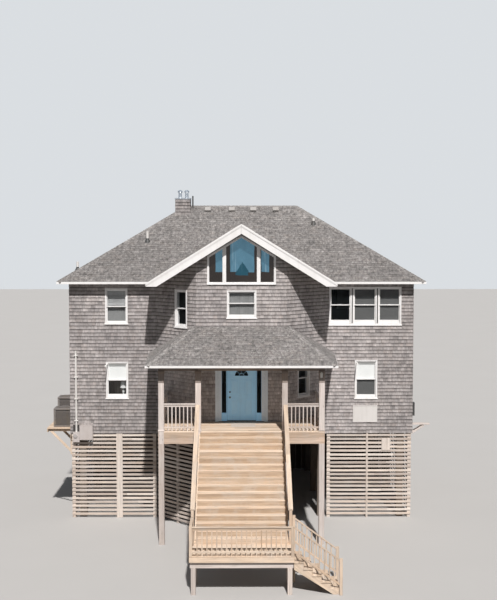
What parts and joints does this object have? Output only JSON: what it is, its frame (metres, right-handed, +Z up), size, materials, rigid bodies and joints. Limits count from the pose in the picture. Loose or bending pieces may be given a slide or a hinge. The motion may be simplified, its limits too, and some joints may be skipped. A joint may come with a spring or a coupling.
{
  "type": "beach house",
  "caption": "Two-storey shingled beach house on piles with a hip roof, a gabled bay, a covered porch, wooden stairs with a landing and a hinged blue front door.",
  "frame": {"origin": "on the ground, under the middle of the rectangular two-storey body, at the foot of its middle pile", "axes": "+X to the right seen from the stairs, -Y towards the stairs and porch, +Z up"},
  "size_m": [14.204, 16.95, 12.19],
  "materials": {
    "shingle_siding": "weathered grey wood shingles",
    "roof_shingle": "grey mineral-surfaced asphalt shingles",
    "white_trim": "white painted trim, satin",
    "door_casing": "pale blue-grey painted wood",
    "door_paint": "blue painted panel door, satin",
    "deck_wood": "sun-bleached tan boards",
    "post_wood": "greyed square posts",
    "slat_wood": "greyed horizontal slats",
    "pile_wood": "dark weathered piles and girders",
    "floor_wood": "plain wood floor",
    "window_glass": "clear glass",
    "galvanised": "galvanised sheet metal",
    "vent_metal": "dull painted metal",
    "box_paint": "grey painted steel",
    "ac_paint": "grey painted sheet metal",
    "hardware_metal": "satin nickel"
  },
  "bodies": {
    "house": {"foundation_piles": "pile_wood", "floor_beams": "pile_wood", "first_floor": "floor_wood", "second_floor": "floor_wood", "front_wall": "shingle_siding", "bay_facets": "shingle_siding", "bay_walls_beside_door": "shingle_siding", "bay_gable_wall": "shingle_siding", "side_walls": "shingle_siding", "back_wall": "shingle_siding", "main_roof": "roof_shingle", "gable_roof": "roof_shingle", "rake_boards": "white_trim", "eave_fascia": "white_trim", "porch_roof_front": "roof_shingle", "porch_roof_sides": "roof_shingle", "porch_beam": "post_wood", "porch_floor": "deck_wood", "porch_posts": "post_wood", "porch_rails": "post_wood", "upper_stringers": "deck_wood", "upper_treads": "deck_wood", "upper_stair_rails": "deck_wood", "landing_deck": "deck_wood", "landing_posts": "post_wood", "landing_rail": "deck_wood", "lower_stringers": "deck_wood", "lower_treads": "deck_wood", "lower_stair_rails": "deck_wood", "chimney": "shingle_siding", "chimney_cap": "galvanised", "roof_vents": "vent_metal", "vent_pipes": "white_trim", "skirt_front": "slat_wood", "skirt_bay": "slat_wood", "skirt_sides": "slat_wood", "skirt_back": "slat_wood", "window_frames": "white_trim", "gable_window_frame": "white_trim", "window_glass": "window_glass", "door_frame": "door_casing", "ac_platform": "deck_wood", "ac_units": "ac_paint", "electric_box": "box_paint", "side_ledge": "deck_wood", "side_box": "box_paint", "sign_board": "white_trim"},
    "door": {"front_door": "door_paint", "door_fanlight": "window_glass", "door_hardware": "hardware_metal"}
  },
  "joints": [
    {"name": "front_door_swing", "type": "hinge", "parent": "house", "child": "door", "pos_m": [0.505, -5.505, 3.862], "axis": [0, 0, -1], "range_deg": [0, 90]}
  ]
}
